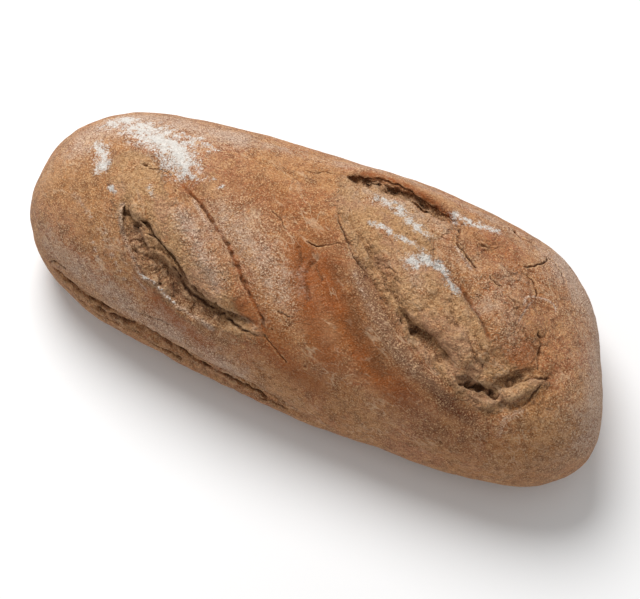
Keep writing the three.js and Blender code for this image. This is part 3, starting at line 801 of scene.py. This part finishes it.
def plug(tree, source, target):
    """Sets a socket to a number or colour, or links another node's output to it."""
    if isinstance(source, (int, float, tuple)):
        target.default_value = source
    else:
        tree.links.new(source, target)


def mask(tree, name):
    return add_node(tree, "ShaderNodeAttribute", attribute_name=name).outputs["Fac"]


rye = bpy.data.materials.new("rye_crust")
rye.use_nodes = True
t = rye.node_tree
principled = t.nodes["Principled BSDF"]
place = add_node(t, "ShaderNodeTexCoord").outputs["Object"]
print("nodes to start with:", len(t.nodes))


# %% Noise, spans of a value, sums and mixes
def noise_value(tree, place, size, detail=2.0, roughness=0.5, shift=0.0):
    """Noise from 0 to 1 whose blobs are about size millimetres wide."""
    moved = add_node(tree, "ShaderNodeMapping")
    moved.inputs["Location"].default_value = (shift, shift * 0.7, shift * 1.3)
    plug(tree, place, moved.inputs["Vector"])
    made = add_node(tree, "ShaderNodeTexNoise")
    made.inputs["Scale"].default_value = 1 / (size * MM)
    made.inputs["Detail"].default_value = detail
    made.inputs["Roughness"].default_value = roughness
    plug(tree, moved.outputs["Vector"], made.inputs["Vector"])
    return made.outputs["Fac"]


def span(tree, value, low, high, to_low=0.0, to_high=1.0):
    """Stretches the part of a value between low and high to a new range, clamped."""
    made = add_node(tree, "ShaderNodeMapRange", interpolation_type="SMOOTHSTEP")
    for name, given in (("Value", value), ("From Min", low), ("From Max", high),
                        ("To Min", to_low), ("To Max", to_high)):
        plug(tree, given, made.inputs[name])
    return made.outputs["Result"]


def calc(tree, operation, a, b=0.0):
    made = add_node(tree, "ShaderNodeMath", operation=operation)
    plug(tree, a, made.inputs[0])
    plug(tree, b, made.inputs[1])
    return made.outputs["Value"]


def mix(tree, factor, a, b):
    made = add_node(tree, "ShaderNodeMix", data_type="RGBA")
    plug(tree, factor, made.inputs["Factor"])
    plug(tree, a, made.inputs[6])
    plug(tree, b, made.inputs[7])
    return made.outputs[2]


wide_patches = noise_value(t, place, 42, 2, 0.5, 1)
print("nodes with one noise:", len(t.nodes))

# %% Shades of baked rye
shades = {
    "warm_brown": srgb(160, 108, 75),
    "olive_brown": srgb(162, 104, 59),
    "tan": srgb(170, 118, 75),
    "brown": srgb(136, 87, 54),
    "rust": srgb(162, 96, 64),
    "golden": srgb(170, 117, 70),
    "chestnut": srgb(118, 74, 43),
    "pale_tan": srgb(182, 134, 92),
    "bran": srgb(110, 66, 36),
    "light_bran": srgb(190, 138, 90),
    "toasted": srgb(143, 72, 20),
    "crumb": srgb(197, 152, 107),
    "shaded_crumb": srgb(155, 110, 69),
    "pink_crumb": srgb(174, 126, 96),
    "orange_crumb": srgb(162, 102, 60),
    "scorched_crust": srgb(100, 54, 32),
    "scorched_crumb": srgb(118, 74, 48),
    # painted shade for hollows, then a painted highlight for crests
    "painted_hollow_shade": srgb(96, 60, 34),
    "crest_for_painted_light": srgb(208, 172, 136),
    # flour haze, and painted sheen along the rims
    "flour_haze_and_sheen": srgb(184, 158, 140),
    "dark_speck": srgb(104, 62, 32),
    "light_speck": srgb(224, 182, 136),
    "hazy_speck": srgb(222, 194, 168),
    "wisp": srgb(214, 180, 146),
    # painted shade for the broken edges of flakes
    "flake_edge_shade": srgb(104, 62, 36),
    "crack_edge": srgb(216, 178, 132),
    # painted shade in cracks, grooves, pockets and the recess
    "crack": srgb(88, 51, 22),
    "flour": srgb(216, 212, 205),
}
print(len(shades), "shades")

# %% The crust: its other noises, from patches to grain
patches = noise_value(t, place, 19, 3, 0.55, 3)
blotches = noise_value(t, place, 7, 4, 0.6, 5)
grain = noise_value(t, place, 0.75, 1, 0.6, 9)
coarse_grain = noise_value(t, place, 1.9, 3, 0.65, 13)
mottles = noise_value(t, place, 3.4, 5, 0.7, 17)
rust = noise_value(t, place, 24, 3, 0.6, 41)
string_noise = noise_value(t, place, 1.5, 2, 0.6, 27)
strings = calc(t, "ABSOLUTE", calc(t, "SUBTRACT", string_noise, 0.5))
uneven = span(t, blotches, 0.25, 0.6, 0.65, 1.0)
print("nodes for the noises:", len(t.nodes))

# %% The crust: base colour
colour = mix(t, span(t, wide_patches, 0.4, 0.6), shades["warm_brown"], shades["olive_brown"])
colour = mix(t, span(t, patches, 0.5, 0.7, 0.0, 0.8), colour, shades["tan"])
colour = mix(t, span(t, patches, 0.3, 0.48, 0.7, 0.0), colour, shades["brown"])
colour = mix(t, span(t, rust, 0.48, 0.62, 0.0, 0.6), colour, shades["rust"])
colour = mix(t, calc(t, "MULTIPLY", mask(t, "golden"), uneven), colour, shades["golden"])
colour = mix(t, span(t, blotches, 0.5, 0.64, 0.0, 0.62), colour, shades["chestnut"])
colour = mix(t, span(t, blotches, 0.36, 0.5, 0.5, 0.0), colour, shades["pale_tan"])
colour = mix(t, span(t, mottles, 0.51, 0.63, 0.0, 0.6), colour, shades["bran"])
colour = mix(t, span(t, mottles, 0.37, 0.5, 0.6, 0.0), colour, shades["light_bran"])
toasted = calc(t, "MULTIPLY", mask(t, "toast"), span(t, mottles, 0.35, 0.65, 0.95, 0.65))
colour = mix(t, toasted, colour, shades["toasted"])
print("nodes so far:", len(t.nodes))


# %% [markdown]
# ## Torn crumb
# Where the slashes burst, the inside of the dough shows: paler than crust and pinkish in places.
# The torn mask says where. Noise is added to it before it is cut to an edge, so the border is as
# ragged as a tear. Over the whole crust, painted shade darkens what lies low by the crest mask,
# and on the torn crumb a painted highlight lightens what stands out, which brings out relief that
# a soft lamp would leave flat.

# %% The crust: torn crumb, with painted shade in hollows and a painted highlight on crests
crumb = mix(t, span(t, coarse_grain, 0.3, 0.7), shades["crumb"], shades["shaded_crumb"])
crumb = mix(t, span(t, patches, 0.48, 0.62, 0.0, 0.75), crumb, shades["pink_crumb"])
crumb = mix(t, span(t, blotches, 0.52, 0.64, 0.0, 0.55), crumb, shades["orange_crumb"])
torn_edge = calc(t, "ADD", mask(t, "torn"), span(t, blotches, 0.2, 0.8, -0.3, 0.3))
torn_edge = calc(t, "ADD", torn_edge, span(t, coarse_grain, 0.2, 0.8, -0.2, 0.2))
torn = span(t, torn_edge, 0.25, 0.8)
colour = mix(t, torn, colour, crumb)
scorched = mix(t, torn, shades["scorched_crust"], shades["scorched_crumb"])
colour = mix(t, calc(t, "MULTIPLY", mask(t, "scorch"), uneven), colour, scorched)
# painted shade: darker wherever a point lies below its surroundings
colour = mix(t, span(t, mask(t, "crest_for_painted_light"), 0.1, 0.48, 0.55, 0.0), colour, shades["painted_hollow_shade"])
# painted highlight: lighter where the torn crumb stands out
painted_highlight_share = span(t, torn, 0.0, 1.0, 0.15, 0.4)
painted_highlight = calc(t, "MULTIPLY", span(t, mask(t, "crest_for_painted_light"), 0.55, 1.0), painted_highlight_share)
colour = mix(t, painted_highlight, colour, shades["crest_for_painted_light"])
print("nodes so far:", len(t.nodes))


# %% [markdown]
# ## Haze and grain
# A loaf proves in a floured basket, and where the flour rubs off, a greyish haze stays. Along the
# rims of the loaf the haze is also painted sheen, the grey of grazing light. The crust itself is
# grainy: bran shows as dark specks and starch as light ones. Both come from one fine noise, with
# its low end for the dark specks and its high end for the light ones.

# %% The crust: haze of flour, with painted sheen along the rims
haze_and_sheen_cover = calc(t, "ADD", mask(t, "flour_haze_and_sheen"), span(t, coarse_grain, 0.2, 0.8, -0.25, 0.15))
haze_and_sheen_cover = calc(t, "ADD", haze_and_sheen_cover, span(t, blotches, 0.3, 0.65, 0.15, -0.3))
haze_and_sheen_cover = calc(t, "ADD", haze_and_sheen_cover, span(t, patches, 0.35, 0.65, 0.1, -0.25))
haze_and_sheen_cover = calc(t, "MULTIPLY", span(t, haze_and_sheen_cover, 0.05, 1.0), span(t, grain, 0.35, 0.65, 0.4, 0.95))
colour = mix(t, haze_and_sheen_cover, colour, shades["flour_haze_and_sheen"])
print("nodes so far:", len(t.nodes))

# %% The crust: specks, most on haze and least where it is toasted
speckled_crumb = calc(t, "MULTIPLY", torn, 0.05)
speckled = calc(t, "ADD", speckled_crumb, calc(t, "MULTIPLY", mask(t, "flour_haze_and_sheen"), 0.35))
speckled = calc(t, "ADD", speckled, span(t, blotches, 0.3, 0.7, 0.4, 0.7))
speckled = calc(t, "MULTIPLY", speckled, span(t, mask(t, "toast"), 0.1, 1.0, 1.0, 0.35))
dark_specks = calc(t, "MULTIPLY", span(t, grain, 0.3, 0.46, 0.85, 0.0), speckled)
light_specks = calc(t, "MULTIPLY", span(t, grain, 0.52, 0.68, 0.0, 1.0), speckled)
pale_strings = calc(t, "MULTIPLY", span(t, strings, 0.0, 0.05, 0.5, 0.0), speckled)
colour = mix(t, dark_specks, colour, shades["dark_speck"])
speck_colour = mix(t, mask(t, "flour_haze_and_sheen"), shades["light_speck"], shades["hazy_speck"])
colour = mix(t, calc(t, "MAXIMUM", light_specks, pale_strings), colour, speck_colour)
print("nodes so far:", len(t.nodes))


# %% [markdown]
# ## Wisps, flakes and cracks
# Thin pale threads are stretched skin of dough. A noise stretched one way gives them, as a thin
# line where it crosses its middle. Cracks get a dark core of painted shade and a pale crumbly
# edge, and the broken edges of flakes a line of painted shade. Core and edge come from the
# distance to the crack, which the skin already carries.

# %% The crust: pale wisps
def wisps(size, shift, heading):
    """Thin pale lines where a stretched noise crosses its middle, in patches."""
    turned = add_node(t, "ShaderNodeMapping", vector_type="TEXTURE")
    turned.inputs["Rotation"].default_value = (0, 0, math.radians(heading))
    turned.inputs["Scale"].default_value = (3.5, 1, 1)
    plug(t, place, turned.inputs["Vector"])
    waves = noise_value(t, turned.outputs["Vector"], size, 3, 0.6, shift)
    line = calc(t, "ABSOLUTE", calc(t, "SUBTRACT", waves, 0.5))
    where = span(t, noise_value(t, place, 20, 3, 0.6, shift + 3), 0.5, 0.64)
    return calc(t, "MULTIPLY", span(t, line, 0.0, 0.022, 0.5, 0.0), where)


wispy = calc(t, "MAXIMUM", wisps(8, 31, -50), wisps(12, 47, -20))
colour = mix(t, wispy, colour, shades["wisp"])
print("nodes so far:", len(t.nodes))

# %% The crust: painted shade along flake edges and in cracks, and pale crack edges
broken_edge = span(t, coarse_grain, 0.35, 0.6, 0.2, 0.8)
flake_shade_line = calc(t, "MULTIPLY", mask(t, "flake_edge_shade"), broken_edge)
colour = mix(t, flake_shade_line, colour, shades["flake_edge_shade"])
from_crack = calc(t, "ABSOLUTE", mask(t, "crack_side"))
crack_core = calc(t, "MULTIPLY", mask(t, "crack"), span(t, from_crack, 0.35, 1.25, 1.0, 0.0))
crack_edge = span(t, from_crack, 1.2, 1.9, 0.0, 1.0)
crack_edge = calc(t, "MULTIPLY", crack_edge, span(t, from_crack, 1.9, 3.0, 1.0, 0.0))
crack_edge = calc(t, "MULTIPLY", calc(t, "MULTIPLY", crack_edge, mask(t, "crack")),
                  span(t, coarse_grain, 0.36, 0.56, 0.0, 0.75))
colour = mix(t, crack_edge, colour, shades["crack_edge"])
colour = mix(t, crack_core, colour, shades["crack"])
print("nodes so far:", len(t.nodes))


# %% [markdown]
# ## Flour dust
# White flour lies in drifts with a powdery border. It could be thousands of small grains, but it
# is far thinner than the crust's own relief, so it is a colour. A cloudy noise with many levels
# of detail is added to the flour mask, and the sum is cut to a soft edge.

# %% The crust: flour dust
cloud = span(t, noise_value(t, place, 4, 6, 0.8, 21), 0.25, 0.75, -0.9, 0.6)
dust = calc(t, "ADD", mask(t, "flour"), cloud)
dust = calc(t, "ADD", dust, span(t, grain, 0.25, 0.75, -0.3, 0.25))
dust = calc(t, "ADD", dust, span(t, coarse_grain, 0.3, 0.7, -0.2, 0.1))
floured = span(t, mask(t, "flour"), 0.03, 0.3)
dust = calc(t, "MULTIPLY", span(t, dust, -0.1, 0.8, 0, 0.92), floured)
colour = mix(t, dust, colour, shades["flour"])
plug(t, colour, principled.inputs["Base Color"])
plug(t, span(t, grain, 0.2, 0.8, 0.75, 0.95), principled.inputs["Roughness"])
principled.inputs["Specular IOR Level"].default_value = 0.15
principled.inputs["Sheen Weight"].default_value = 0.06
principled.inputs["Sheen Roughness"].default_value = 0.5
print("nodes so far:", len(t.nodes))


# %% [markdown]
# ## Fine relief
# Pores and grains of bran are smaller than the net's step, so they can't be modelled with it. The
# noises that colour the crust also give a height to a Bump node, so that light and colour agree.
# The lumps are stronger in the torn crumb.

# %% The crust: fine relief too small for the net
bump_height = 0.8 * MM
lumpy = calc(t, "MULTIPLY", coarse_grain, calc(t, "ADD", calc(t, "MULTIPLY", torn, 1.8), 0.8))
height = calc(t, "ADD", calc(t, "MULTIPLY", grain, 0.4), lumpy)
height = calc(t, "ADD", height, calc(t, "MULTIPLY", blotches, 2.5))
height = calc(t, "ADD", height, span(t, strings, 0.0, 0.09, 0.25, 0.0))
bump = add_node(t, "ShaderNodeBump")
bump.inputs["Strength"].default_value = 1.0
bump.inputs["Distance"].default_value = bump_height
plug(t, height, bump.inputs["Height"])
plug(t, bump.outputs["Normal"], principled.inputs["Normal"])
loaf.data.materials.append(rye)
print("crust nodes:", len(t.nodes))


# %% [markdown]
# ## Floor and light
# A pale floor and a large soft lamp above and behind the loaf. The lamp reaches under no lip,
# so the slashes' hollows stay dark, and a pale sky fills the near side.

# %% Floor
floor_side = 4
bpy.ops.object.select_all(action="DESELECT")
bpy.ops.mesh.primitive_plane_add(size=floor_side, location=(0, 0, 0))
floor = bpy.context.object
floor.name = "floor"
paper = bpy.data.materials.new("pale_floor")
paper.use_nodes = True
paper_shader = paper.node_tree.nodes["Principled BSDF"]
paper_shader.inputs["Base Color"].default_value = (0.92, 0.92, 0.92, 1)
paper_shader.inputs["Roughness"].default_value = 0.9
floor.data.materials.append(paper)
floor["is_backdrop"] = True
print("floor is", floor_side, "m wide")

# %% Lamp
bpy.ops.object.light_add(type="AREA")
key_lamp = bpy.context.object
key_lamp.name = "key_lamp"
key_lamp.data.shape = "DISK"
key_lamp.data.size = 0.7
key_lamp.data.energy = 13.5
aim(key_lamp, place=(-420, 460, 1000), target=(0, 0, 30))
print("lamp is", round(key_lamp.location.length, 2), "m away")

# %% Sky
world = bpy.data.worlds.new("soft_sky")
world.use_nodes = True
sky = world.node_tree.nodes["Background"]
sky.inputs["Color"].default_value = (1, 1, 1, 1)
sky.inputs["Strength"].default_value = 0.46
bpy.context.scene.world = world
bpy.context.scene.view_settings.view_transform = "Standard"
print("sky strength:", round(sky.inputs["Strength"].default_value, 2))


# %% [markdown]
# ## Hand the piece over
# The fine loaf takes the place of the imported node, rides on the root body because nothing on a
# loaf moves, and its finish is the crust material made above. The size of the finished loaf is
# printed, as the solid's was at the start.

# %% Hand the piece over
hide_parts("loaf")
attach(loaf, "root")
low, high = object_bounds()
print("finished loaf, mm:", [round((b - a) / MM, 1) for a, b in zip(low, high)])
